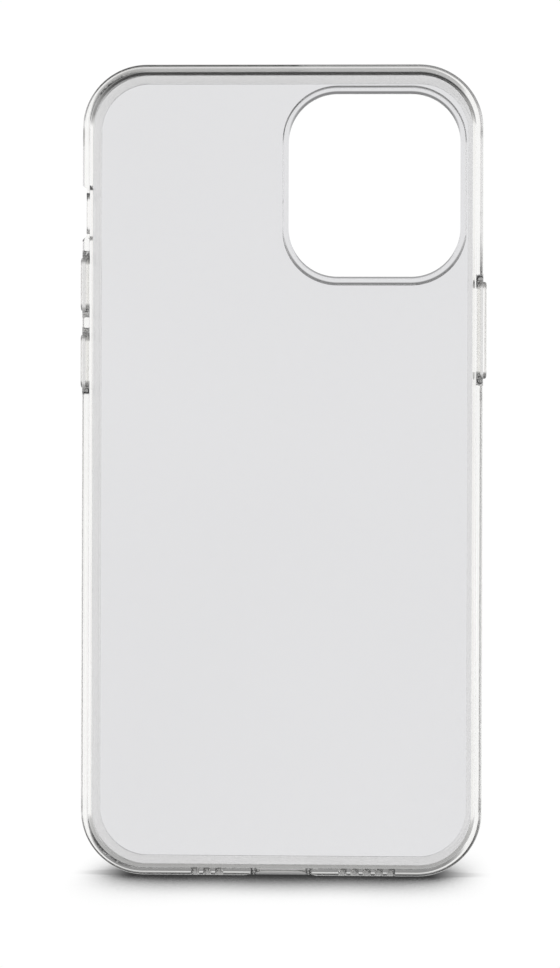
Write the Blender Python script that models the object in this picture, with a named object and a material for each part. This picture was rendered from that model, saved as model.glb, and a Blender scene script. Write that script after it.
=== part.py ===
"""A clear two-part phone case: a hard back plate held in a soft bumper frame with three button pads.

Metres. +X is right and +Z is up as seen from the open front, which faces -Y; +Y points out of
the back. The origin is the middle of the seat, the plate's flat inner face under the phone.
"""

from math import cos, radians, sin

import bmesh
import bpy

MM = 0.001
GAP = 0.3 * MM  # left between two pieces that touch on the real case

# The phone that the case fits
PHONE_WIDTH = 78.1 * MM
PHONE_HEIGHT = 160.8 * MM
PHONE_DEPTH = 7.65 * MM
PHONE_PLAY = 0.1 * MM  # on every side of the phone, and over its screen

# The bumper frame's walls and lip
WALL = 1.4 * MM
LIP_REACH = 0.8 * MM  # how far the lip stands in over the screen
LIP_THICKNESS = 1.1 * MM
CORNER_RADIUS = 13.0 * MM  # of the outside, seen from the front
BACK_ROUND = 2.4 * MM
FRONT_ROUND = 1.3 * MM
LIP_ROUND = 0.7 * MM
LIP_FILLET = 0.4 * MM  # in the corner between wall and lip
LEDGE_WIDTH = 1.7 * MM  # the back ledge that the plate's tongue is bonded to
LEDGE_THICKNESS = 0.6 * MM

# The back plate and its camera window
PLATE_THICKNESS = 1.4 * MM
TONGUE_THICKNESS = 0.5 * MM
WINDOW_X = 18.35 * MM
WINDOW_Z = 58.1 * MM
WINDOW_WIDTH = 35.0 * MM
WINDOW_HEIGHT = 37.3 * MM
WINDOW_RADIUS = 10.0 * MM
RIM_WIDTH = 1.25 * MM  # at the window's left and right
RIM_BREADTH = 1.65 * MM  # above and below the window
RIM_HEIGHT = 0.9 * MM  # the raised rim round the window, above the plate's back
RIM_ROUND = 0.4 * MM

# Button pads: (name, side, middle height, length, how far it stands proud)
PAD_HEIGHT = 3.4 * MM  # across the wall
PADS = [
    ("volume_up", -1, 37.6 * MM, 10.9 * MM, 0.65 * MM),
    ("volume_down", -1, 22.0 * MM, 10.9 * MM, 0.65 * MM),
    ("side", 1, 28.4 * MM, 19.6 * MM, 0.75 * MM),
]
PAD_CLEARANCE = 1.3 * MM  # between a pad and the edge of its opening, bridged by the web
PAD_CROWN = 0.45 * MM
PAD_RECESS = 0.2 * MM  # of the pad's inner face behind the pocket's wall
WEB_THICKNESS = 0.5 * MM

# Openings in the frame
SWITCH_Z = 51.9 * MM
SWITCH_LENGTH = 9.1 * MM
SWITCH_SCOOP = 0.95 * MM
SWITCH_SLOPE = 1.2 * MM
SWITCH_HOLE = (5.2 * MM, 8.3 * MM)  # across and along the wall
SWITCH_HOLE_RADIUS = 1.6 * MM
PORT_HOLE = (12.6 * MM, 6.4 * MM)
PORT_HOLE_RADIUS = 3.1 * MM
PORT_SCOOP = 0.25 * MM
PORT_SLOPE = 1.1 * MM
SOUND_HOLE_RADIUS = 0.85 * MM
SOUND_HOLE_PITCH = 2.45 * MM
SOUND_HOLE_GROUPS = [(-15.0 * MM, 3), (17.35 * MM, 5)]  # middle of the group, number of holes

CORNER_STEPS = 8
PAST = 2.0 * MM  # how far a cutter runs past what it cuts

# Worked out from the sizes above
POCKET_HALF_WIDTH = PHONE_WIDTH / 2 + PHONE_PLAY
POCKET_HALF_HEIGHT = PHONE_HEIGHT / 2 + PHONE_PLAY
HALF_WIDTH = POCKET_HALF_WIDTH + WALL
HALF_HEIGHT = POCKET_HALF_HEIGHT + WALL
LIP_UNDERSIDE = -(PHONE_DEPTH + PHONE_PLAY)
FRONT = LIP_UNDERSIDE - LIP_THICKNESS
BACK = PLATE_THICKNESS
MID_DEPTH = -(PHONE_DEPTH + PHONE_PLAY) / 2  # buttons and openings lie half-way up the phone's side


def rounded_rectangle(half_a, half_b, radius, steps=CORNER_STEPS):
    """The outline's points, anticlockwise, with an arc of the given steps at each corner."""
    points = []
    for quarter, (side_a, side_b) in enumerate([(1, 1), (-1, 1), (-1, -1), (1, -1)]):
        middle_a, middle_b = side_a * (half_a - radius), side_b * (half_b - radius)
        for step in range(steps + 1):
            angle = radians(90 * (quarter + step / steps))
            points.append((middle_a + radius * cos(angle), middle_b + radius * sin(angle)))
    return points


def arc(middle_a, middle_b, radius, start, end, steps):
    """Points from angle start to angle end, in degrees, both included."""
    angles = [radians(start + (end - start) * step / steps) for step in range(steps + 1)]
    return [(middle_a + radius * cos(a), middle_b + radius * sin(a)) for a in angles]


def in_space(facing, a, b, depth):
    """An outline's point (a, b) at a depth along the axis that the outline faces."""
    return {"X": (depth, a, b), "Y": (a, depth, b), "Z": (a, b, depth)}[facing]


def material(name, colour, roughness, ior):
    """Clear plastic."""
    made = bpy.data.materials.new(name)
    made.use_nodes = True
    shader = made.node_tree.nodes["Principled BSDF"]
    shader.inputs["Base Color"].default_value = (*colour, 1)
    shader.inputs["Roughness"].default_value = roughness
    shader.inputs["Metallic"].default_value = 0
    shader.inputs["IOR"].default_value = ior
    shader.inputs["Transmission Weight"].default_value = 1
    made.diffuse_color = (*colour, 1)
    return made


def lofted(name, loops, capped=True):
    """An object whose skin joins the loops in turn, closed by end caps or back to the first loop."""
    shape = bmesh.new()
    rings = [[shape.verts.new(point) for point in loop] for loop in loops]
    count = len(rings[0])
    pairs = list(zip(rings, rings[1:])) + ([] if capped else [(rings[-1], rings[0])])
    for low, high in pairs:
        for i in range(count):
            j = (i + 1) % count
            shape.faces.new((low[i], low[j], high[j], high[i]))
    if capped:
        shape.faces.new(rings[0])
        shape.faces.new(rings[-1])
    bmesh.ops.recalc_face_normals(shape, faces=shape.faces)
    mesh = bpy.data.meshes.new(name)
    shape.to_mesh(mesh)
    shape.free()
    mesh.shade_smooth()
    mesh.set_sharp_from_angle(angle=radians(35))
    made = bpy.data.objects.new(name, mesh)
    bpy.context.scene.collection.objects.link(made)
    return made


def cutter(name, loops):
    """A capped loft that only cuts other objects."""
    made = lofted(name, loops)
    made.hide_render = True
    made.display_type = "WIRE"
    return made


def combine(target, other, operation):
    """Leaves a live Boolean on the target."""
    modifier = target.modifiers.new(other.name, "BOOLEAN")
    modifier.operation = operation
    modifier.object = other
    modifier.solver = "EXACT"


def case_outline(inset, depth):
    """The case's outline seen from the front, moved in from the outside by inset."""
    outline = rounded_rectangle(HALF_WIDTH - inset, HALF_HEIGHT - inset, CORNER_RADIUS - inset)
    return [in_space("Y", a, b, depth) for a, b in outline]


def window_outline(across, up, radius, depth):
    """The camera window's outline, moved outwards by across to the sides and by up at its ends."""
    outline = rounded_rectangle(WINDOW_WIDTH / 2 + across, WINDOW_HEIGHT / 2 + up, radius)
    return [in_space("Y", WINDOW_X + a, WINDOW_Z + b, depth) for a, b in outline]


def rim_outline(inset, depth):
    """The raised rim's outline, moved in from its outside by inset."""
    radius = WINDOW_RADIUS + RIM_WIDTH - inset
    return window_outline(RIM_WIDTH - inset, RIM_BREADTH - inset, radius, depth)


def wall_hole(name, facing, middle, half_sizes, radius, span, steps=CORNER_STEPS):
    """A rounded cutter through one wall: middle and half_sizes lie in the wall's plane."""
    outline = rounded_rectangle(*half_sizes, radius, steps)
    return cutter(
        name,
        [[in_space(facing, middle[0] + a, middle[1] + b, depth) for a, b in outline] for depth in span],
    )


def scoop(name, along, middle, half_length, slope, outside, bottom):
    """A shallow cutter across the wall's whole depth, with sloping ends.

    It runs along X or Z, from outside, past the wall's outer face, to bottom.
    """
    surface = HALF_WIDTH if along == "Z" else HALF_HEIGHT
    steepness = slope / (surface - abs(bottom))
    spread = steepness * (abs(outside) - abs(bottom))
    corners = [
        (middle - half_length - spread, outside),
        (middle + half_length + spread, outside),
        (middle + half_length, bottom),
        (middle - half_length, bottom),
    ]
    depths = (FRONT - PAST, BACK + PAST)
    if along == "X":
        return cutter(name, [[(a, depth, b) for a, b in corners] for depth in depths])
    return cutter(name, [[(b, depth, a) for a, b in corners] for depth in depths])


def back_plate():
    """The hard plate: a flat sheet with a thin tongue all round, a window and its raised rim."""
    tongue_inset = WALL + GAP
    body_inset = WALL + LEDGE_WIDTH + GAP
    plate = lofted(
        "back_plate",
        [
            case_outline(tongue_inset, 0),
            case_outline(tongue_inset, TONGUE_THICKNESS),
            case_outline(body_inset, TONGUE_THICKNESS),
            case_outline(body_inset, BACK),
        ],
    )
    rim_top = BACK + RIM_HEIGHT
    flank = arc(RIM_ROUND, rim_top - RIM_ROUND, RIM_ROUND, 180, 90, 4)
    rim = cutter("window_rim", [rim_outline(inset, depth) for inset, depth in [(0, BACK / 2)] + flank])
    window = cutter(
        "window_cut",
        [window_outline(0, 0, WINDOW_RADIUS, depth) for depth in (-PAST, rim_top + PAST)],
    )
    combine(plate, rim, "UNION")
    combine(plate, window, "DIFFERENCE")
    plate.data.materials.append(material("clear_polycarbonate", (0.76, 0.76, 0.775), 0.04, 1.58))
    return plate


def frame_section():
    """The bumper's cross-section as (inset, depth), round from the back's edge of the corner."""
    ledge_top = BACK - LEDGE_THICKNESS
    ledge_edge = WALL + LEDGE_WIDTH
    lip_edge = WALL + LIP_REACH
    section = arc(BACK_ROUND, BACK - BACK_ROUND, BACK_ROUND, 90, 180, 5)
    section += arc(FRONT_ROUND, FRONT + FRONT_ROUND, FRONT_ROUND, 180, 270, 4)
    section += arc(lip_edge - LIP_ROUND, FRONT + LIP_ROUND, LIP_ROUND, 270, 360, 3)
    section += [(lip_edge, LIP_UNDERSIDE)]
    section += arc(WALL + LIP_FILLET, LIP_UNDERSIDE + LIP_FILLET, LIP_FILLET, 270, 180, 3)
    section += [(WALL, ledge_top), (ledge_edge, ledge_top), (ledge_edge, BACK)]
    return section


def bumper_frame():
    """The soft frame, cut for the pads, the switch, the charging port and the sound holes."""
    frame = lofted(
        "bumper_frame", [case_outline(inset, depth) for inset, depth in frame_section()], capped=False
    )
    for name, side, height, length, _ in PADS:
        half = (PAD_HEIGHT / 2 + PAD_CLEARANCE, length / 2 + PAD_CLEARANCE)
        span = (side * (POCKET_HALF_WIDTH - PAST), side * (HALF_WIDTH + PAST))
        radius = PAD_HEIGHT / 2 + PAD_CLEARANCE - GAP
        combine(
            frame, wall_hole(f"{name}_cut", "X", (MID_DEPTH, height), half, radius, span), "DIFFERENCE"
        )
    outside, inside = -(HALF_WIDTH + PAST), -(POCKET_HALF_WIDTH - PAST)
    bottom = -(HALF_WIDTH - SWITCH_SCOOP)
    half_length = SWITCH_LENGTH / 2
    combine(
        frame,
        scoop("switch_scoop", "Z", SWITCH_Z, half_length, SWITCH_SLOPE, outside, bottom),
        "DIFFERENCE",
    )
    half = (SWITCH_HOLE[0] / 2, SWITCH_HOLE[1] / 2)
    hole = wall_hole(
        "switch_cut", "X", (MID_DEPTH, SWITCH_Z), half, SWITCH_HOLE_RADIUS, (outside, inside)
    )
    combine(frame, hole, "DIFFERENCE")
    under, inside = -(HALF_HEIGHT + PAST), -(POCKET_HALF_HEIGHT - PAST)
    half = (PORT_HOLE[0] / 2, PORT_HOLE[1] / 2)
    bottom = -(HALF_HEIGHT - PORT_SCOOP)
    combine(frame, scoop("port_scoop", "X", 0, half[0], PORT_SLOPE, under, bottom), "DIFFERENCE")
    hole = wall_hole("port_cut", "Z", (0, MID_DEPTH), half, PORT_HOLE_RADIUS, (under, inside))
    combine(frame, hole, "DIFFERENCE")
    for group, (middle, count) in enumerate(SOUND_HOLE_GROUPS):
        for i in range(count):
            x = middle + (i - (count - 1) / 2) * SOUND_HOLE_PITCH
            half = (SOUND_HOLE_RADIUS, SOUND_HOLE_RADIUS)
            # an outline whose corners are all arc is a circle, less a hair so that no side vanishes
            radius = SOUND_HOLE_RADIUS * 0.98
            name = f"sound_cut_{group}_{i}"
            hole = wall_hole(name, "Z", (x, MID_DEPTH), half, radius, (under, inside), steps=3)
            combine(frame, hole, "DIFFERENCE")
    frame.data.materials.append(material("clear_tpu", (0.93, 0.93, 0.9), 0.06, 1.5))
    return frame


def button_pad(name, side, height, length, proud, parent):
    """A pad that slides in through the wall; its origin is on its sliding axis."""
    half_a, half_b, radius = PAD_HEIGHT / 2, length / 2, PAD_HEIGHT / 2 - GAP / 2
    inner = -(HALF_WIDTH - POCKET_HALF_WIDTH) + PAD_RECESS
    # (how far in from the pad's outline, how far out from the wall's outer face)
    steps = [(0, inner)] + arc(PAD_CROWN, proud - PAD_CROWN, PAD_CROWN, 180, 90, 4)
    loops = []
    for inset, out in steps:
        outline = rounded_rectangle(half_a - inset, half_b - inset, radius - inset, 6)
        loops.append([in_space("X", a, b, side * out) for a, b in outline])
    pad = lofted(f"{name}_button", loops)
    pad.parent = parent
    pad.location = (side * HALF_WIDTH, MID_DEPTH, height)
    pad.data.materials.append(material(f"{name}_button_tpu", (0.92, 0.92, 0.89), 0.08, 1.5))
    return pad


def button_web(name, side, height, length, parent):
    """The thinned skin round a pad, which flexes and springs the pad back."""
    loops = []
    face = WALL / 2 - WEB_THICKNESS / 2
    outer = PAD_CLEARANCE - GAP
    for outset, inward in [(GAP, face), (outer, face), (outer, WALL - face), (GAP, WALL - face)]:
        half_a, half_b = PAD_HEIGHT / 2 + outset, length / 2 + outset
        outline = rounded_rectangle(half_a, half_b, PAD_HEIGHT / 2 - GAP / 2 + outset, 6)
        loops.append([in_space("X", a, b, -side * inward) for a, b in outline])
    web = lofted(f"{name}_web", loops, capped=False)
    web.parent = parent
    web.location = (side * HALF_WIDTH, MID_DEPTH, height)
    web.data.materials.append(material(f"{name}_web_tpu", (0.93, 0.93, 0.9), 0.1, 1.5))
    return web


def main():
    """Clears the scene and builds the case."""
    for old in list(bpy.data.objects):
        bpy.data.objects.remove(old, do_unlink=True)
    frame = bumper_frame()
    plate = back_plate()
    plate.parent = frame
    for name, side, height, length, proud in PADS:
        button_pad(name, side, height, length, proud, frame)
        button_web(name, side, height, length, frame)


main()
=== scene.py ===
"""A clear phone case, stood upright with its open front to the camera.

A hard clear plate is held in a soft clear bumper frame, which carries three button pads on thin
webs. Every piece is modelled here at its finished detail and stands for its plain CAD node.
Lengths are metres in the CAD's own frame: +X right, +Z up, and +Y out of the case's back.
"""

import logging
from collections.abc import Callable, Iterable
from dataclasses import dataclass
from enum import Enum
from math import cos, pi, radians, sin

import bmesh
import bpy
from mathutils import Euler, Matrix, Vector


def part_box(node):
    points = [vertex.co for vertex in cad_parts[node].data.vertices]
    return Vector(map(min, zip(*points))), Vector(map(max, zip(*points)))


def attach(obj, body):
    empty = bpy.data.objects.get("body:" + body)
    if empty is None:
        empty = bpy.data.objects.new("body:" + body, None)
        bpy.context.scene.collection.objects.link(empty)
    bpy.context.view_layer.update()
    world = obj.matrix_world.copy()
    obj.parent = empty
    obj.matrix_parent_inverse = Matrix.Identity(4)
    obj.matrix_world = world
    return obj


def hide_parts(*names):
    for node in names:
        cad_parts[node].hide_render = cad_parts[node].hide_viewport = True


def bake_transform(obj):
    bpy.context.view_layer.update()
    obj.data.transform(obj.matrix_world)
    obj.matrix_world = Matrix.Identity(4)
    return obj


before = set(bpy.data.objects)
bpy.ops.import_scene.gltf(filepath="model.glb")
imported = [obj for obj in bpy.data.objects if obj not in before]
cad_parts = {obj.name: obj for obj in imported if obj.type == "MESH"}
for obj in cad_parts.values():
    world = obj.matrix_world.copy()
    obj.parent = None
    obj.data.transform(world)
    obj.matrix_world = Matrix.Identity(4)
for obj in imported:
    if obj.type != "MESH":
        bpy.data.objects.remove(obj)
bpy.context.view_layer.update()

MM = 0.001
MERGE = 0.002 * MM  # points nearer than this are one point
PAST = 2.0 * MM  # how far a cutter runs past the surface that it cuts
HAIR = 0.004 * MM  # a flare starts this much outside the surface that it cuts
CORNER_SEGMENTS = 28
SMALL_SEGMENTS = 12
FILLET_SEGMENTS = 6
SMOOTH_ANGLE = radians(32)
FLAT_WEIGHT = 100  # lets the widest faces decide the shading, so flats stay flat
LIGHT_BOUNCES = 32  # light runs far along inside the clear walls
MIX_FIRST, MIX_SECOND, MIX_RESULT = 6, 7, 2  # the colour sockets of a Mix node
SWITCH_Z = 51.9 * MM

Step = tuple[float, float]
Size = tuple[float, float]
Colour = tuple[float, float, float]

log = logging.getLogger("phone_case")


class Facing(Enum):
    """Which way an outline faces, as the turn in degrees from lying flat and facing up."""

    FRONT = (90, 0, 0)
    BACK = (90, 0, 180)
    RIGHT = (90, 0, 90)
    LEFT = (90, 0, -90)
    UP = (0, 0, 90)
    DOWN = (180, 0, 90)

    def turn(self) -> tuple[float, ...]:
        """Gives the turn in radians.

        Returns:
            The turn round X, Y and Z.
        """
        return tuple(radians(angle) for angle in self.value)

    def way(self) -> Vector:
        """Finds the direction that it faces.

        Returns:
            The direction, of length 1.
        """
        return Euler(self.turn()).to_matrix() @ Vector((0, 0, 1))

    def opposite(self) -> "Facing":
        """Finds the facing that looks the other way.

        Returns:
            The opposite facing.
        """
        pairs = ((Facing.FRONT, Facing.BACK), (Facing.RIGHT, Facing.LEFT), (Facing.UP, Facing.DOWN))
        return next(pair[1 - pair.index(self)] for pair in pairs if self in pair)


class Kind(Enum):
    """What a selection picks."""

    POINT = "VERT"
    EDGE = "EDGE"
    FACE = "FACE"


# ---------------------------------------------------------------------------------------------
# Modelling by hand: small steps that each piece's class puts together
# ---------------------------------------------------------------------------------------------


def only(piece: bpy.types.Object) -> None:
    """Deselects everything and makes one piece the selected, active one.

    Args:
        piece: The piece to work on.
    """
    bpy.ops.object.select_all(action="DESELECT")
    piece.select_set(True)
    bpy.context.view_layer.objects.active = piece


def pick(piece: bpy.types.Object, kind: Kind, wanted: Callable[[Vector], bool]) -> None:
    """Selects, in edit mode, only the parts whose middle passes a test.

    Args:
        piece: The piece in edit mode.
        kind: Points, edges or faces.
        wanted: The test, given each part's middle.
    """
    bpy.ops.mesh.select_mode(type=kind.value)
    bpy.ops.mesh.select_all(action="DESELECT")
    shape = bmesh.from_edit_mesh(piece.data)
    parts = {Kind.POINT: shape.verts, Kind.EDGE: shape.edges, Kind.FACE: shape.faces}[kind]
    for part in parts:
        corners = [part] if kind is Kind.POINT else part.verts
        if wanted(sum((corner.co for corner in corners), Vector()) / len(corners)):
            part.select_set(True)
    shape.select_flush_mode()
    bmesh.update_edit_mesh(piece.data)


def between(stops: list[Step]) -> list[Step]:
    """Turns a line of places into the steps from each place to the next.

    Args:
        stops: The places as (inwards, forwards).

    Returns:
        The steps as (inwards, forwards).
    """
    return [(b[0] - a[0], b[1] - a[1]) for a, b in zip(stops, stops[1:])]


def eased(inwards: float, forwards: float, segments: int) -> list[Step]:
    """Steps along a soft slope that is level at both its ends.

    Args:
        inwards: How far in it goes.
        forwards: How far forwards it goes.
        segments: How many flats stand for it.

    Returns:
        The steps as (inwards, forwards).
    """
    parts = [i / segments for i in range(segments + 1)]
    return between([(inwards * t, forwards * t * t * (3 - 2 * t)) for t in parts])


def rounded(radius: float, segments: int = FILLET_SEGMENTS) -> list[Step]:
    """Steps up and over a convex rounding, from a wall to the flat face above it.

    Args:
        radius: The rounding's radius.
        segments: How many flats stand for it.

    Returns:
        The steps as (inwards, forwards).
    """
    stops = [
        (radius * (1 - cos(pi / 2 * i / segments)), radius * sin(pi / 2 * i / segments))
        for i in range(segments + 1)
    ]
    return between(stops)


def flared(radius: float, segments: int = FILLET_SEGMENTS) -> list[Step]:
    """Steps in and down a flare, which cuts a rounding or leaves a hollow fillet.

    Args:
        radius: The flare's radius.
        segments: How many flats stand for it.

    Returns:
        The steps as (inwards, forwards).
    """
    return rounded(radius, segments)[::-1]


def entry(radius: float, segments: int = 4) -> list[Step]:
    """Steps of a cutter from PAST outside a surface, through it with a flare that rounds its edge.

    Args:
        radius: The rounding's radius.
        segments: How many flats stand for it.

    Returns:
        The steps as (inwards, forwards).
    """
    return [(0, PAST - HAIR), *flared(radius, segments)]


def plug(
    name: str, facing: Facing, at: Vector, half: Size, radius: float, steps: Iterable[Step],
    segments: int = CORNER_SEGMENTS, mirrored: bool = False,
) -> bpy.types.Object:
    """Models a closed solid with a rounded outline that is extruded and inset step by step.

    It is modelled in millimetres and made small last, because insets of a hair go wrong in metres.

    Args:
        name: The piece's name.
        facing: Which way it grows from its start.
        at: The middle of the outline that it starts from.
        half: Half the outline's width and height.
        radius: The outline's corner radius.
        steps: (inwards, forwards) for each step; the first goes straight forwards.
        segments: How many flats stand for each corner.
        mirrored: Whether the same steps run back again, mirrored at the last one.

    Returns:
        The solid, with its place in its mesh.
    """
    bpy.ops.object.select_all(action="DESELECT")
    bpy.ops.mesh.primitive_plane_add(size=2)
    piece = bpy.context.active_object
    piece.name = piece.data.name = name
    bpy.ops.object.mode_set(mode="EDIT")
    bpy.ops.mesh.select_all(action="SELECT")
    bpy.ops.transform.resize(value=(half[0] / MM, half[1] / MM, 1))
    bpy.ops.mesh.bevel(offset=radius / MM, segments=segments, affect="VERTICES")
    bpy.ops.mesh.select_mode(type="FACE")
    bpy.ops.mesh.select_all(action="SELECT")
    for inwards, forwards in steps:
        if inwards:
            bpy.ops.mesh.inset(thickness=inwards / MM, depth=forwards / MM)
        else:
            rise = (0, 0, forwards / MM)
            bpy.ops.mesh.extrude_region_move(TRANSFORM_OT_translate={"value": rise})
    if mirrored:
        top = (0, 0, sum(forwards for _, forwards in steps) / MM)
        bpy.ops.mesh.delete(type="FACE")
        bpy.ops.mesh.select_all(action="SELECT")
        bpy.ops.mesh.duplicate()
        bpy.ops.transform.resize(value=(1, 1, -1), center_override=top)
        bpy.ops.mesh.select_all(action="SELECT")
        bpy.ops.mesh.remove_doubles(threshold=MERGE / MM)
    bpy.ops.mesh.select_all(action="SELECT")
    bpy.ops.mesh.normals_make_consistent(inside=False)
    bpy.ops.object.mode_set(mode="OBJECT")
    piece.rotation_euler = facing.turn()
    piece.location = at
    piece.scale = (MM, MM, MM)
    bpy.ops.object.transform_apply(location=True, rotation=True, scale=True)
    return piece


def combine(piece: bpy.types.Object, other: bpy.types.Object, operation: str) -> None:
    """Joins another solid to a piece, or cuts it out, and uses the other solid up.

    Args:
        piece: The solid that stays.
        other: The solid that is used up.
        operation: UNION or DIFFERENCE.
    """
    only(piece)
    modifier = piece.modifiers.new("combine", "BOOLEAN")
    modifier.operation = operation
    modifier.object = other
    modifier.solver = "EXACT"
    bpy.ops.object.modifier_apply(modifier=modifier.name)
    bpy.data.objects.remove(other, do_unlink=True)


def finished(piece: bpy.types.Object) -> bpy.types.Object:
    """Smooths a piece's roundings and keeps its flats flat.

    Args:
        piece: A closed solid.

    Returns:
        The same piece.
    """
    only(piece)
    bpy.ops.object.mode_set(mode="EDIT")
    bpy.ops.mesh.select_all(action="SELECT")
    bpy.ops.mesh.remove_doubles(threshold=MERGE)
    bpy.ops.mesh.normals_make_consistent(inside=False)
    bpy.ops.object.mode_set(mode="OBJECT")
    bpy.ops.object.shade_smooth_by_angle(angle=SMOOTH_ANGLE)
    modifier = piece.modifiers.new("flats", "WEIGHTED_NORMAL")
    modifier.keep_sharp = True
    modifier.weight = FLAT_WEIGHT
    bpy.ops.object.modifier_apply(modifier=modifier.name)
    return piece


# ---------------------------------------------------------------------------------------------
# Finishes
# ---------------------------------------------------------------------------------------------


def value_group(
    name: str, inputs: dict[str, float | Colour], outputs: dict[str, str]
) -> bpy.types.NodeTree:
    """Starts a shader node group with named sockets.

    Args:
        name: The effect's name.
        inputs: Each input's name and its value at first; three numbers make a colour.
        outputs: Each output's name and its kind of socket.

    Returns:
        The group, with its Group Input and Group Output nodes in it.
    """
    group = bpy.data.node_groups.new(name, "ShaderNodeTree")
    for label, value in inputs.items():
        is_colour = isinstance(value, tuple)
        kind = "NodeSocketColor" if is_colour else "NodeSocketFloat"
        socket = group.interface.new_socket(label, in_out="INPUT", socket_type=kind)
        socket.default_value = (*value, 1) if is_colour else value
    for label, kind in outputs.items():
        group.interface.new_socket(label, in_out="OUTPUT", socket_type=kind)
    group.nodes.new("NodeGroupInput")
    group.nodes.new("NodeGroupOutput")
    return group


def ends(group: bpy.types.NodeTree) -> tuple[bpy.types.Node, bpy.types.Node]:
    """Finds where a group's values come in and go out.

    Args:
        group: The group.

    Returns:
        Its input node and its output node.
    """
    return group.nodes["Group Input"], group.nodes["Group Output"]


def placed(
    tree: bpy.types.NodeTree, group: bpy.types.NodeTree, values: dict[str, float | Colour]
) -> bpy.types.Node:
    """Puts an effect into a material.

    Args:
        tree: The material's node tree.
        group: The effect's group.
        values: What its inputs are set to, by their labels.

    Returns:
        The effect's node.
    """
    node = tree.nodes.new("ShaderNodeGroup")
    node.node_tree = group
    for label, value in values.items():
        node.inputs[label].default_value = (*value, 1) if isinstance(value, tuple) else value
    return node


def noise(
    tree: bpy.types.NodeTree, scale: bpy.types.NodeSocket | float, detail: float,
    stretch: tuple[float, float, float] = (1, 1, 1),
) -> bpy.types.NodeSocket:
    """Adds a noise pattern on the piece's own coordinates.

    Args:
        tree: The node tree that it goes into.
        scale: The pattern's scale, as a number or a socket.
        detail: How many finer layers it has.
        stretch: Scale along each axis before the noise.

    Returns:
        The noise's value, from 0 to 1.
    """
    place = tree.nodes.new("ShaderNodeTexCoord")
    mapping = tree.nodes.new("ShaderNodeMapping")
    mapping.inputs["Scale"].default_value = stretch
    pattern = tree.nodes.new("ShaderNodeTexNoise")
    pattern.inputs["Detail"].default_value = detail
    tree.links.new(place.outputs["Object"], mapping.inputs["Vector"])
    tree.links.new(mapping.outputs["Vector"], pattern.inputs["Vector"])
    if isinstance(scale, (int, float)):
        pattern.inputs["Scale"].default_value = scale
    else:
        tree.links.new(scale, pattern.inputs["Scale"])
    return pattern.outputs["Fac"]


def spread(
    tree: bpy.types.NodeTree, value: bpy.types.NodeSocket, low: float, high: float,
    to_low: float | bpy.types.NodeSocket = 0.0, to_high: float | bpy.types.NodeSocket = 1.0,
) -> bpy.types.NodeSocket:
    """Maps a range of values to another, and stops at its ends.

    Args:
        tree: The node tree.
        value: The value to map.
        low: The value that becomes to_low.
        high: The value that becomes to_high.
        to_low: A number or a socket.
        to_high: A number or a socket.

    Returns:
        The mapped value.
    """
    node = tree.nodes.new("ShaderNodeMapRange")
    tree.links.new(value, node.inputs["Value"])
    node.inputs["From Min"].default_value = low
    node.inputs["From Max"].default_value = high
    for label, to in (("To Min", to_low), ("To Max", to_high)):
        if isinstance(to, (int, float)):
            node.inputs[label].default_value = to
        else:
            tree.links.new(to, node.inputs[label])
    return node.outputs["Result"]


def cloudy_tint() -> bpy.types.NodeTree:
    """Builds the effect of resin that is a shade deeper in soft, wide patches.

    Returns:
        A group with Pale, Deep and Scale, which puts out Colour.
    """
    pale, deep = (1.0, 1.0, 1.0), (0.9, 0.9, 0.9)
    group = value_group(
        "Cloudy tint", {"Pale": pale, "Deep": deep, "Scale": 18.0}, {"Colour": "NodeSocketColor"}
    )
    given, result = ends(group)
    patches = spread(group, noise(group, given.outputs["Scale"], 2.0), 0.3, 0.7)
    mix = group.nodes.new("ShaderNodeMix")
    mix.data_type = "RGBA"
    group.links.new(patches, mix.inputs["Factor"])
    group.links.new(given.outputs["Pale"], mix.inputs[MIX_FIRST])
    group.links.new(given.outputs["Deep"], mix.inputs[MIX_SECOND])
    group.links.new(mix.outputs[MIX_RESULT], result.inputs["Colour"])
    return group


def moulded_skin() -> bpy.types.NodeTree:
    """Builds the effect of a moulded gloss skin: long waves and hairline scuffs.

    Returns:
        A group with Wave, Scuffs, Smooth and Rough, which puts out Height and Roughness.
    """
    group = value_group(
        "Moulded skin",
        {"Wave": 60.0, "Scuffs": 0.3, "Smooth": 0.02, "Rough": 0.12},
        {"Height": "NodeSocketFloat", "Roughness": "NodeSocketFloat"},
    )
    given, result = ends(group)
    waves = noise(group, given.outputs["Wave"], 1.0)
    group.links.new(waves, result.inputs["Height"])
    upright_hairs = noise(group, 700.0, 3.0, (1.0, 1.0, 0.06))
    scuffs = spread(group, upright_hairs, 0.66, 0.78)
    worn = group.nodes.new("ShaderNodeMath")
    worn.operation = "MULTIPLY"
    group.links.new(scuffs, worn.inputs[0])
    group.links.new(given.outputs["Scuffs"], worn.inputs[1])
    smooth, rough = given.outputs["Smooth"], given.outputs["Rough"]
    group.links.new(
        spread(group, worn.outputs[0], 0.0, 1.0, smooth, rough), result.inputs["Roughness"]
    )
    return group


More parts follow.
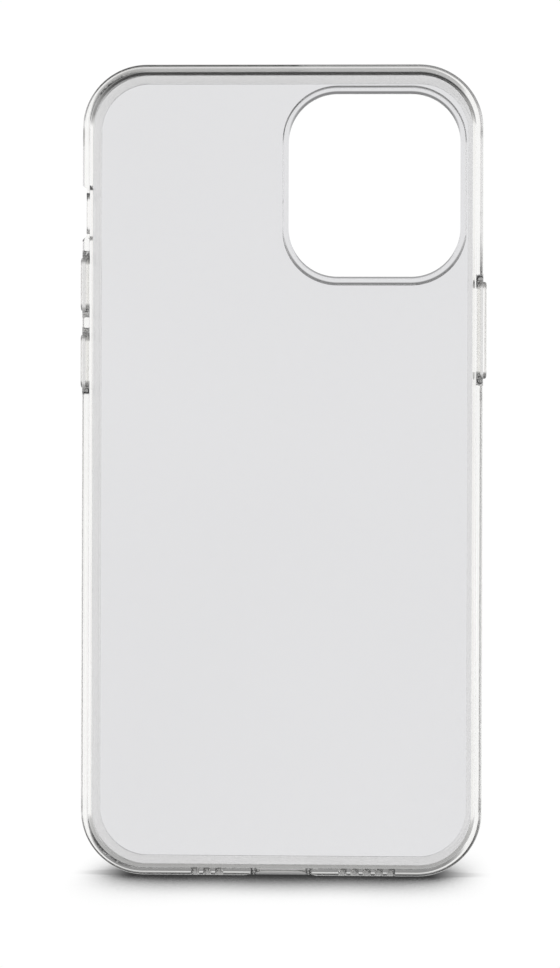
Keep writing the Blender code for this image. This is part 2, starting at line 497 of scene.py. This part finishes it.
@dataclass(frozen=True)
class ClearPlastic:
    """A see-through moulded plastic."""

    name: str
    pale: Colour
    deep: Colour
    patch_scale: float
    ior: float
    wave_scale: float
    wave_height: float
    scuffs: float
    smooth: float
    rough: float

    def material(self, tint: bpy.types.NodeTree, skin: bpy.types.NodeTree) -> bpy.types.Material:
        """Mixes the plastic.

        Args:
            tint: The cloudy tint effect.
            skin: The moulded skin effect.

        Returns:
            The material.
        """
        made = bpy.data.materials.new(self.name)
        made.use_nodes = True
        tree = made.node_tree
        shader = tree.nodes["Principled BSDF"]
        shader.inputs["Metallic"].default_value = 0.0
        shader.inputs["IOR"].default_value = self.ior
        shader.inputs["Transmission Weight"].default_value = 1.0
        colour = placed(
            tree, tint, {"Pale": self.pale, "Deep": self.deep, "Scale": self.patch_scale}
        )
        tree.links.new(colour.outputs["Colour"], shader.inputs["Base Color"])
        marks = {
            "Wave": self.wave_scale, "Scuffs": self.scuffs, "Smooth": self.smooth,
            "Rough": self.rough,
        }
        surface = placed(tree, skin, marks)
        tree.links.new(surface.outputs["Roughness"], shader.inputs["Roughness"])
        bump = tree.nodes.new("ShaderNodeBump")
        bump.inputs["Distance"].default_value = self.wave_height
        tree.links.new(surface.outputs["Height"], bump.inputs["Height"])
        tree.links.new(bump.outputs["Normal"], shader.inputs["Normal"])
        return made


HARD_PLATE = ClearPlastic(
    name="clear_plate", pale=(0.748, 0.748, 0.76), deep=(0.733, 0.733, 0.745), patch_scale=14.0,
    ior=1.5, wave_scale=40.0, wave_height=0.01 * MM, scuffs=0.1, smooth=0.0,
    rough=0.08,
)
SOFT_FRAME = ClearPlastic(
    name="clear_bumper", pale=(0.95, 0.947, 0.937), deep=(0.93, 0.926, 0.915), patch_scale=60.0,
    ior=1.49, wave_scale=90.0, wave_height=0.02 * MM, scuffs=0.1, smooth=0.0,
    rough=0.08,
)
SOFT_PAD = ClearPlastic(
    name="clear_pad", pale=(0.95, 0.947, 0.937), deep=(0.93, 0.926, 0.915), patch_scale=120.0,
    ior=1.49, wave_scale=150.0, wave_height=0.02 * MM, scuffs=0.2, smooth=0.0,
    rough=0.1,
)
SOFT_WEB = ClearPlastic(
    name="clear_web", pale=(0.95, 0.947, 0.937), deep=(0.93, 0.926, 0.915), patch_scale=120.0,
    ior=1.49, wave_scale=200.0, wave_height=0.02 * MM, scuffs=0.0, smooth=0.0,
    rough=0.05,
)


# ---------------------------------------------------------------------------------------------
# The case's own measures, shared by its pieces
# ---------------------------------------------------------------------------------------------


@dataclass(frozen=True)
class Shell:
    """The case's overall measures, read from the CAD's boxes, and its wall."""

    half_width: float
    half_height: float
    front: float
    back: float
    rim_top: float
    wall: float = 1.4 * MM
    corner: float = 13.0 * MM
    lip_reach: float = 0.8 * MM
    lip_thickness: float = 1.1 * MM
    ledge_width: float = 1.7 * MM
    ledge_thickness: float = 0.6 * MM

    @classmethod
    def from_frame(cls) -> "Shell":
        """Reads the measures.

        Returns:
            The case's measures.
        """
        low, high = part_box("bumper_frame")
        return cls(
            half_width=(high[0] - low[0]) / 2, half_height=(high[2] - low[2]) / 2, front=low[1],
            back=high[1], rim_top=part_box("back_plate")[1][1],
        )

    @property
    def pocket_middle(self) -> float:
        """The depth half-way up the phone's side, where pads and openings are."""
        return (self.front + self.lip_thickness) / 2

    def half(self, inset: float) -> Size:
        """Gives half the case's outline, moved in.

        Args:
            inset: How far it is moved in.

        Returns:
            Half its width and half its height.
        """
        return self.half_width - inset, self.half_height - inset

    def on_wall(self, facing: Facing, along: float) -> Vector:
        """Finds a place on the outside of one of the walls.

        Args:
            facing: The way that the wall faces.
            along: How far along the wall, from its middle.

        Returns:
            The point on the wall's outer face, half-way up the phone's side.
        """
        if facing is Facing.DOWN:
            return Vector((along, self.pocket_middle, -self.half_height))
        return Vector((facing.way().x * self.half_width, self.pocket_middle, along))


@dataclass(frozen=True)
class BackPlate:
    """The hard plate with its bonded tongue, camera window and raised rim."""

    shell: Shell
    tongue_thickness: float = 0.72 * MM
    bond: float = 0.04 * MM  # the hair between plate and frame
    edge_round: float = 0.04 * MM
    window_x: float = 18.35 * MM
    window_z: float = 58.1 * MM
    window_half: Size = (17.5 * MM, 18.65 * MM)
    window_corner: float = 10.0 * MM
    rim_width: Size = (1.25 * MM, 1.65 * MM)  # at the window's sides, and above and below it
    rim_round: float = 0.7 * MM
    rim_foot: float = 0.15 * MM
    window_round: float = 0.6 * MM

    def build(self, plastic: bpy.types.Material) -> bpy.types.Object:
        """Models the plate.

        Args:
            plastic: Its material.

        Returns:
            The finished plate.
        """
        shell = self.shell
        tongue = shell.wall + self.bond
        body = shell.wall + shell.ledge_width + self.bond
        steps = [
            (0, self.tongue_thickness),
            (body - tongue, 0),
            (0, shell.back - self.tongue_thickness - self.edge_round),
            *rounded(self.edge_round, 3),
        ]
        corner = shell.corner - tongue
        plate = plug("plate", Facing.BACK, Vector((0, 0, 0)), shell.half(tongue), corner, steps)
        combine(plate, self.rim(), "UNION")
        combine(plate, self.window(), "DIFFERENCE")
        plate.data.materials.append(plastic)
        finished(plate)
        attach(plate, "shell")
        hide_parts("back_plate")
        return plate

    def rim(self) -> bpy.types.Object:
        """Models the raised rim, with a hollow fillet at its foot and a rounded top edge.

        Returns:
            The rim's solid, with no window in it yet.
        """
        shell = self.shell
        start = shell.back - self.rim_foot
        straight = shell.rim_top - self.rim_round - self.rim_foot - shell.back
        half = tuple(w + r + self.rim_foot for w, r in zip(self.window_half, self.rim_width))
        corner = self.window_corner + self.rim_width[0] + self.rim_foot
        steps = [
            (0, self.rim_foot), *flared(self.rim_foot, 4), (0, straight),
            *rounded(self.rim_round),
        ]
        at = Vector((self.window_x, start, self.window_z))
        return plug("rim", Facing.BACK, at, half, corner, steps)

    def window(self) -> bpy.types.Object:
        """Models what opens the window and rounds its edges, on the rim and on the front.

        Returns:
            The cutter.
        """
        edge, back = self.window_round, self.shell.rim_top
        steps = [*entry(edge, FILLET_SEGMENTS), (0, back / 2 + HAIR - edge)]
        at = Vector((self.window_x, back + PAST, self.window_z))
        half = (self.window_half[0] + edge, self.window_half[1] + edge)
        return plug(
            "window", Facing.FRONT, at, half, self.window_corner + edge, steps, mirrored=True
        )


@dataclass(frozen=True)
class Opening:
    """A rounded hole through one of the frame's straight walls, with softened edges."""

    name: str
    facing: Facing
    along: float
    half: Size
    radius: float
    depth: float = 0.0  # of the outer surface here, under the wall's own outer face
    edge: float = 0.25 * MM
    segments: int = SMALL_SEGMENTS
    count: int = 1
    pitch: float = 0.0

    def cutter(self, shell: Shell) -> bpy.types.Object:
        """Models what cuts the opening and rounds its edges, outside and inside.

        Args:
            shell: The case's measures.

        Returns:
            The cutter.
        """
        way = self.facing.way()
        first = self.along - (self.count - 1) / 2 * self.pitch
        start = shell.on_wall(self.facing, first) + way * (PAST - self.depth)
        thickness = shell.wall - self.depth
        half = (self.half[0] + self.edge, self.half[1] + self.edge)
        steps = [*entry(self.edge), (0, thickness / 2 + HAIR - self.edge)]
        made = plug(
            self.name, self.facing.opposite(), start, half, self.radius + self.edge, steps,
            self.segments, mirrored=True,
        )
        if self.count > 1:
            self.repeat(made)
        return made

    def repeat(self, cutter: bpy.types.Object) -> None:
        """Copies a cutter along the wall.

        Args:
            cutter: The first one, nearest the wall's lower or left end.
        """
        only(cutter)
        modifier = cutter.modifiers.new("row", "ARRAY")
        modifier.count = self.count
        modifier.use_relative_offset = False
        modifier.use_constant_offset = True
        offset = (self.pitch, 0, 0) if self.facing is Facing.DOWN else (0, 0, self.pitch)
        modifier.constant_offset_displace = offset
        bpy.ops.object.modifier_apply(modifier=modifier.name)


@dataclass(frozen=True)
class Scoop:
    """A shallow dip across the whole depth of a wall, with soft sloping ends."""

    name: str
    facing: Facing
    along: float
    length: float
    depth: float
    slope: float
    segments: int = 10

    def cutter(self, shell: Shell) -> bpy.types.Object:
        """Models what presses the dip.

        Args:
            shell: The case's measures.

        Returns:
            The cutter, which runs past the wall's front and back.
        """
        steps = [(0, PAST - HAIR), *eased(self.slope, self.depth, self.segments)]
        start = shell.on_wall(self.facing, self.along) + self.facing.way() * PAST
        half = (4 * PAST + shell.back - shell.front, self.length / 2 + self.slope)
        return plug(self.name, self.facing.opposite(), start, half, PAST, steps, SMALL_SEGMENTS)


@dataclass(frozen=True)
class ButtonPad:
    """One soft pad that stands proud of the wall, and the thin dished web that carries it."""

    shell: Shell
    name: str
    facing: Facing
    along: float
    length: float
    proud: float
    height: float = 3.4 * MM
    crown: float = 0.45 * MM
    crown_steps: int = 8
    dome: float = 0.08 * MM
    dome_steps: int = 4
    dome_flat: float = 0.15 * MM  # half the flat that is left on top of the dome
    end_segments: int = 16
    end_share: float = 0.96  # of a full half circle, which leaves enough of a flat to inset
    recess: float = 0.2 * MM
    clearance: float = 1.3 * MM
    web_gap: float = 0.05 * MM
    web_thickness: float = 0.3 * MM
    web_high: float = 0.2 * MM  # how deep the web is under the wall's face, at the pad
    web_low: float = 1.1 * MM  # and at the frame
    web_steps: int = 8

    @classmethod
    def from_frame(cls, shell: Shell, name: str, facing: Facing) -> "ButtonPad":
        """Reads where a pad is and how big it is.

        Args:
            shell: The case's measures.
            name: The name of the body that the pad is on.
            facing: The way that its wall faces.

        Returns:
            The pad.
        """
        low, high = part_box(f"{name}_button")
        proud = max(abs(low[0]), abs(high[0])) - shell.half_width
        return cls(shell, name, facing, (low[2] + high[2]) / 2, high[2] - low[2], proud)

    @property
    def half(self) -> Size:
        """Half the pad's height and length."""
        return self.height / 2, self.length / 2

    @property
    def radius(self) -> float:
        """The radius of the pad's round ends."""
        return self.height / 2 * self.end_share

    def opening(self) -> Opening:
        """The hole that the pad's web closes."""
        half = (self.half[0] + self.clearance, self.half[1] + self.clearance)
        radius = self.radius + self.clearance
        return Opening(f"{self.name}_cut", self.facing, self.along, half, radius)

    def build(self, plastic: bpy.types.Material, web_plastic: bpy.types.Material) -> None:
        """Models the pad and its web.

        Args:
            plastic: The pad's material.
            web_plastic: The web's material.
        """
        pad = self.pad()
        pad.data.materials.append(plastic)
        finished(pad)
        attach(pad, self.name)
        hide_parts(f"{self.name}_button")
        web = self.web()
        web.data.materials.append(web_plastic)
        finished(web)
        way = self.facing.way()
        face = self.shell.on_wall(self.facing, self.along)
        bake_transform(web)
        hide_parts(f"{self.name}_web")
        log.info("%s: pad and web", self.name)

    def pad(self) -> bpy.types.Object:
        """Models the pad: a stadium with a rounded crown, softly domed.

        Returns:
            The pad.
        """
        inner = self.shell.wall - self.recess
        at = self.shell.on_wall(self.facing, self.along) - self.facing.way() * inner
        rise = self.proud - self.crown - self.dome
        across = self.half[0] - self.crown - self.dome_flat
        parts = [i / self.dome_steps for i in range(self.dome_steps + 1)]
        dome = [(across * t, self.dome * (1 - (1 - t) ** 2)) for t in parts]
        steps = [(0, inner + rise), *rounded(self.crown, self.crown_steps), *between(dome)]
        return plug(
            f"{self.name}_pad", self.facing, at, self.half, self.radius, steps, self.end_segments
        )

    def web(self) -> bpy.types.Object:
        """Models the web: a thin dished skirt from the frame up to the pad.

        Returns:
            The web, closed and thick.
        """
        outer = self.clearance - self.web_gap
        span = self.clearance - 2 * self.web_gap
        rise = self.web_low - self.web_high
        steps = eased(span, rise, self.web_steps)
        at = self.shell.on_wall(self.facing, self.along) - self.facing.way() * self.web_low
        half = (self.half[0] + outer, self.half[1] + outer)
        web = plug(
            f"{self.name}_skirt", self.facing, at, half, self.radius + outer, steps,
            self.end_segments,
        )
        only(web)
        bpy.ops.object.mode_set(mode="EDIT")
        middle = at + self.facing.way() * rise
        pick(web, Kind.FACE, lambda place: (place - middle).length < self.height / 4)
        bpy.ops.mesh.delete(type="FACE")
        bpy.ops.object.mode_set(mode="OBJECT")
        modifier = web.modifiers.new("thickness", "SOLIDIFY")
        modifier.thickness = self.web_thickness
        modifier.offset = 0
        bpy.ops.object.modifier_apply(modifier=modifier.name)
        return web


@dataclass(frozen=True)
class BumperFrame:
    """The soft frame: wall, lip and ledge swept round the phone, with all its openings."""

    shell: Shell
    openings: tuple[Opening, ...]
    scoops: tuple[Scoop, ...]
    back_round: float = 2.4 * MM
    front_round: float = 1.3 * MM
    lip_round: float = 0.7 * MM
    under_lip_round: float = 0.15 * MM
    fillet: float = 0.4 * MM
    ledge_round: float = 0.04 * MM

    def build(self, plastic: bpy.types.Material) -> bpy.types.Object:
        """Models the frame.

        Args:
            plastic: Its material.

        Returns:
            The finished frame.
        """
        bumper = self.section()
        self.sweep(bumper)
        for scoop in self.scoops:
            combine(bumper, scoop.cutter(self.shell), "DIFFERENCE")
        for opening in self.openings:
            combine(bumper, opening.cutter(self.shell), "DIFFERENCE")
        bumper.data.materials.append(plastic)
        finished(bumper)
        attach(bumper, "shell")
        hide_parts("bumper_frame")
        return bumper

    def section(self) -> bpy.types.Object:
        """Models the cross-section on the right wall, at the top of its straight run.

        Returns:
            The piece, so far a bare loop of edges.
        """
        shell = self.shell
        outside, height = shell.half_width, shell.half_height - shell.corner
        wall_x = outside - shell.wall
        under_lip = shell.front + shell.lip_thickness
        ledge_top = shell.back - shell.ledge_thickness
        middle = Vector(((outside + wall_x) / 2, (shell.front + shell.back) / 2, height))
        bpy.ops.object.select_all(action="DESELECT")
        bpy.ops.mesh.primitive_plane_add(size=1)
        bumper = bpy.context.active_object
        bumper.name = bumper.data.name = "bumper"
        bpy.ops.object.mode_set(mode="EDIT")
        bpy.ops.mesh.select_all(action="SELECT")
        bpy.ops.transform.resize(value=(shell.wall, shell.back - shell.front, 1))
        bpy.ops.transform.translate(value=middle)
        for depth in (under_lip, ledge_top):
            bpy.ops.mesh.select_all(action="SELECT")
            bpy.ops.mesh.bisect(plane_co=(0, depth, 0), plane_no=(0, 1, 0))
        for low, high, reach in (
            (shell.front, under_lip, shell.lip_reach), (ledge_top, shell.back, shell.ledge_width),
        ):
            inner_edge = Vector((wall_x, (low + high) / 2, height))
            pick(bumper, Kind.EDGE, lambda place: (place - inner_edge).length < MERGE)
            bpy.ops.mesh.extrude_region_move(TRANSFORM_OT_translate={"value": (-reach, 0, 0)})
        bpy.ops.mesh.select_all(action="SELECT")
        bpy.ops.mesh.dissolve_limited(angle_limit=radians(1))
        lip_x, ledge_x = wall_x - shell.lip_reach, wall_x - shell.ledge_width
        for x, y, radius, segments in (
            (outside, shell.back, self.back_round, 14),
            (outside, shell.front, self.front_round, 10),
            (lip_x, shell.front, self.lip_round, 6),
            (lip_x, under_lip, self.under_lip_round, 4),
            (wall_x, under_lip, self.fillet, 6),
            (ledge_x, shell.back, self.ledge_round, 3),
        ):
            corner = Vector((x, y, height))
            pick(bumper, Kind.POINT, lambda place: (place - corner).length < MERGE)
            bpy.ops.mesh.bevel(offset=radius, segments=segments, affect="VERTICES")
        bpy.ops.mesh.select_mode(type="FACE")
        bpy.ops.mesh.select_all(action="SELECT")
        bpy.ops.mesh.delete(type="ONLY_FACE")
        bpy.ops.object.mode_set(mode="OBJECT")
        return bumper

    def sweep(self, bumper: bpy.types.Object) -> None:
        """Sweeps the cross-section round the four corners and along the four walls.

        Args:
            bumper: The piece with the cross-section's loop.
        """
        shell = self.shell
        across, up = shell.half_width - shell.corner, shell.half_height - shell.corner
        only(bumper)
        bpy.ops.object.mode_set(mode="EDIT")
        bpy.ops.mesh.select_mode(type="EDGE")
        bpy.ops.mesh.select_all(action="SELECT")
        for side, top, run in (
            (1, 1, (-2 * across, 0, 0)), (-1, 1, (0, 0, -2 * up)),
            (-1, -1, (2 * across, 0, 0)), (1, -1, (0, 0, 2 * up)),
        ):
            bpy.ops.mesh.spin(
                steps=CORNER_SEGMENTS, angle=pi / 2, center=(side * across, 0, top * up),
                axis=(0, 1, 0),
            )
            bpy.ops.mesh.extrude_region_move(TRANSFORM_OT_translate={"value": run})
        bpy.ops.mesh.select_all(action="SELECT")
        bpy.ops.mesh.remove_doubles(threshold=MERGE)
        bpy.ops.mesh.normals_make_consistent(inside=False)
        bpy.ops.object.mode_set(mode="OBJECT")


# ---------------------------------------------------------------------------------------------
# The studio
# ---------------------------------------------------------------------------------------------


@dataclass(frozen=True)
class Studio:
    """White light from all sides at eye height, a dark ceiling, a pale floor, a painted shadow."""

    floor_height: float
    floor_size: float = 6.0
    # (sine of the height above the horizon, brightness), from straight down to straight up
    light: tuple[Size, ...] = (
        (-1.0, 0.44), (-0.75, 0.46), (-0.45, 0.5), (-0.22, 0.56), (-0.135, 1.0), (0.13, 1.0),
        (0.2, 0.55), (0.32, 0.28), (0.5, 0.33), (0.68, 0.11), (0.82, 0.04), (1.0, 0.03),
    )
    strength: float = 1.01
    # how far and how finely the painted shadow's occlusion looks round each spot of the floor
    painted_shadow_reach: float = 0.08
    painted_shadow_samples: int = 16
    # (how much of the open sky is left over a spot on the floor, how much light the painted shadow
    # keeps there)
    painted_shadow_stops: tuple[Size, ...] = (
        (0.625, 0.044), (0.645, 0.09), (0.669, 0.175), (0.7, 0.29), (0.742, 0.455), (0.772, 0.555),
        (0.807, 0.68), (0.867, 0.88), (0.917, 0.97), (0.967, 1.0), (1.0, 1.0),
    )
    painted_shadow_ends: Size = (29.5 * MM, 44 * MM)  # how far out along the case the painted shadow fades away
    painted_shadow_lift: float = 0.037  # how much open sky is given back to the painted shadow under the middle of the case
    painted_shadow_lift_span: Size = (10 * MM, 27 * MM)  # how far out along the case that ends

    def build(self) -> None:
        """Sets up the light and the floor."""
        self.sky()
        self.floor()
        log.info("studio: light and floor")

    @staticmethod
    def grade(
        tree: bpy.types.NodeTree, value: bpy.types.NodeSocket, stops: Iterable[Size]
    ) -> bpy.types.NodeSocket:
        """Adds a ramp of greys.

        Args:
            tree: The node tree.
            value: What the ramp reads, from 0 to 1.
            stops: (place, grey) in order.

        Returns:
            The ramp's colour.
        """
        ramp = tree.nodes.new("ShaderNodeValToRGB")
        elements = ramp.color_ramp.elements
        wanted = list(stops)
        while len(elements) < len(wanted):
            elements.new(0.5)  # anywhere, since its place is set below
        for element, (place, grey) in zip(elements, wanted):
            element.position = place
            element.color = (grey, grey, grey, 1)
        tree.links.new(value, ramp.inputs["Fac"])
        return ramp.outputs["Color"]

    def sky(self) -> None:
        """Lights the scene from all round, by the height above the horizon."""
        world = bpy.data.worlds.new("studio_light")
        bpy.context.scene.world = world
        world.use_nodes = True
        tree = world.node_tree
        way = tree.nodes.new("ShaderNodeTexCoord")
        parts = tree.nodes.new("ShaderNodeSeparateXYZ")
        tree.links.new(way.outputs["Generated"], parts.inputs["Vector"])
        height = spread(tree, parts.outputs["Z"], -1, 1)
        stops = [((place + 1) / 2, grey) for place, grey in self.light]
        background = tree.nodes["Background"]
        background.inputs["Strength"].default_value = self.strength
        tree.links.new(self.grade(tree, height, stops), background.inputs["Color"])

    @staticmethod
    def fall(
        tree: bpy.types.NodeTree, value: bpy.types.NodeSocket, span: Size, high: float
    ) -> bpy.types.NodeSocket:
        """Adds a soft fall from high to nothing.

        Args:
            tree: The node tree.
            value: What the fall reads.
            span: Where it starts and where it ends.
            high: What it gives before it starts.

        Returns:
            The falling value.
        """
        node = tree.nodes.new("ShaderNodeMapRange")
        node.interpolation_type = "SMOOTHSTEP"
        node.inputs["From Min"].default_value, node.inputs["From Max"].default_value = span
        node.inputs["To Min"].default_value, node.inputs["To Max"].default_value = high, 0.0
        tree.links.new(value, node.inputs["Value"])
        return node.outputs["Result"]

    @staticmethod
    def sum_up(
        tree: bpy.types.NodeTree, operation: str, *values: bpy.types.NodeSocket
    ) -> bpy.types.NodeSocket:
        """Adds one step of arithmetic.

        Args:
            tree: The node tree.
            operation: The kind of step.
            values: What goes into it.

        Returns:
            The result.
        """
        node = tree.nodes.new("ShaderNodeMath")
        node.operation = operation
        for value, socket in zip(values, node.inputs):
            tree.links.new(value, socket)
        return node.outputs[0]

    def floor(self) -> None:
        """Lays a floor that takes its tone from the light, less a soft painted shadow under the
        case.
        """
        bpy.ops.object.select_all(action="DESELECT")
        bpy.ops.mesh.primitive_plane_add(size=self.floor_size, location=(0, 0, self.floor_height))
        floor = bpy.context.active_object
        floor.name = "floor"
        bpy.ops.object.transform_apply(location=True, rotation=True, scale=True)
        made = bpy.data.materials.new("pale_floor_painted_shadow")
        made.use_nodes = True
        tree = made.node_tree
        tree.nodes.remove(tree.nodes["Principled BSDF"])
        # painted shadow: how open the sky is over each spot of the floor picks a grey from a ramp
        open_sky = tree.nodes.new("ShaderNodeAmbientOcclusion")
        open_sky.inputs["Distance"].default_value = self.painted_shadow_reach
        open_sky.samples = self.painted_shadow_samples
        shader = tree.nodes.new("ShaderNodeBsdfTransparent")
        light_path = tree.nodes.new("ShaderNodeLightPath")
        place = tree.nodes.new("ShaderNodeTexCoord")
        parts = tree.nodes.new("ShaderNodeSeparateXYZ")
        tree.links.new(place.outputs["Object"], parts.inputs["Vector"])
        out = self.sum_up(tree, "ABSOLUTE", parts.outputs["X"])
        # more of the sky is hidden under the case's middle than at its ends; this evens out the
        # painted shadow
        shadow_lift = self.fall(tree, out, self.painted_shadow_lift_span, self.painted_shadow_lift)
        level = self.sum_up(tree, "ADD", open_sky.outputs["AO"], shadow_lift)
        # the painted shadow greys the see-through floor for camera rays only, and fades out past
        # the case's ends
        painted_shadow = tree.nodes.new("ShaderNodeMix")
        painted_shadow.data_type = "RGBA"
        painted_shadow.inputs[MIX_FIRST].default_value = (1, 1, 1, 1)
        shadow_fade = self.fall(tree, out, self.painted_shadow_ends, 1.0)
        painted_shadow_amount = self.sum_up(tree, "MULTIPLY", shadow_fade, light_path.outputs["Is Camera Ray"])
        tree.links.new(painted_shadow_amount, painted_shadow.inputs["Factor"])
        tree.links.new(self.grade(tree, level, self.painted_shadow_stops), painted_shadow.inputs[MIX_SECOND])
        tree.links.new(painted_shadow.outputs[MIX_RESULT], shader.inputs["Color"])
        tree.links.new(shader.outputs["BSDF"], tree.nodes["Material Output"].inputs["Surface"])
        floor.data.materials.append(made)


@dataclass(frozen=True)
class Camera:
    """A long lens, level with the middle of the case and a little to its right."""

    distance: float = 0.8
    lens: float = 147.5
    yaw: float = radians(2.6)
    roll: float = radians(0.18)
    shift: Size = (-0.0016, -0.0145)
    clip: Size = (0.01, 20)

    def build(self, shell: Shell) -> None:
        """Sets up the camera.

        Args:
            shell: The case's measures; the distance is from the middle of its front.
        """
        bpy.ops.object.select_all(action="DESELECT")
        bpy.ops.object.camera_add()
        camera = bpy.context.active_object
        camera.name = "camera"
        camera.location = Vector(
            (self.distance * sin(self.yaw), shell.front - self.distance * cos(self.yaw), 0)
        )
        turn = Matrix.Rotation(self.yaw, 3, "Z") @ Matrix.Rotation(pi / 2, 3, "X")
        camera.rotation_euler = (turn @ Matrix.Rotation(self.roll, 3, "Z")).to_euler()
        camera.data.lens = self.lens
        camera.data.shift_x, camera.data.shift_y = self.shift
        camera.data.clip_start, camera.data.clip_end = self.clip
        bpy.context.scene.camera = camera


def wall_openings() -> tuple[Opening, ...]:
    """Lists the frame's openings, apart from the pads' own.

    Returns:
        The port, the switch slot and the two rows of sound holes.
    """
    port = Opening(
        "port", Facing.DOWN, 0.0, (3.2 * MM, 6.3 * MM), 3.1 * MM, depth=0.25 * MM, edge=0.2 * MM,
    )
    switch = Opening(
        "switch", Facing.LEFT, SWITCH_Z, (2.6 * MM, 4.15 * MM), 1.6 * MM, depth=0.95 * MM,
        edge=0.12 * MM,
    )
    hole, roundness = 0.85 * MM, 0.97
    rows = tuple(
        Opening(
            f"sound_{count}", Facing.DOWN, middle, (hole, hole), hole * roundness,
            edge=0.12 * MM, segments=8, count=count, pitch=2.45 * MM,
        )
        for middle, count in ((-15.0 * MM, 3), (17.35 * MM, 5))
    )
    return port, switch, *rows


def main() -> None:
    """Builds the case piece by piece, then the studio round it."""
    logging.basicConfig(level=logging.INFO, format="%(message)s")
    shell = Shell.from_frame()
    tint, skin = cloudy_tint(), moulded_skin()
    plate = BackPlate(shell).build(HARD_PLATE.material(tint, skin))
    log.info("plate: %d faces", len(plate.data.polygons))
    pads = (
        ButtonPad.from_frame(shell, "volume_up", Facing.LEFT),
        ButtonPad.from_frame(shell, "volume_down", Facing.LEFT),
        ButtonPad.from_frame(shell, "side", Facing.RIGHT),
    )
    scoops = (
        Scoop("switch_scoop", Facing.LEFT, SWITCH_Z, 9.1 * MM, 0.95 * MM, 1.2 * MM),
        Scoop("port_scoop", Facing.DOWN, 0.0, 12.6 * MM, 0.25 * MM, 1.1 * MM),
    )
    openings = (*(pad.opening() for pad in pads), *wall_openings())
    bumper = BumperFrame(shell, openings, scoops).build(SOFT_FRAME.material(tint, skin))
    log.info("bumper: %d faces", len(bumper.data.polygons))
    pad_plastic, web_plastic = SOFT_PAD.material(tint, skin), SOFT_WEB.material(tint, skin)
    for pad in pads:
        pad.build(pad_plastic, web_plastic)
    Studio(floor_height=-shell.half_height).build()
    Camera().build(shell)
    bpy.context.scene.view_settings.view_transform = "Standard"
    cycles = bpy.context.scene.cycles
    cycles.max_bounces = LIGHT_BOUNCES
    cycles.transmission_bounces = cycles.glossy_bounces = LIGHT_BOUNCES


if __name__ == "__main__":
    main()
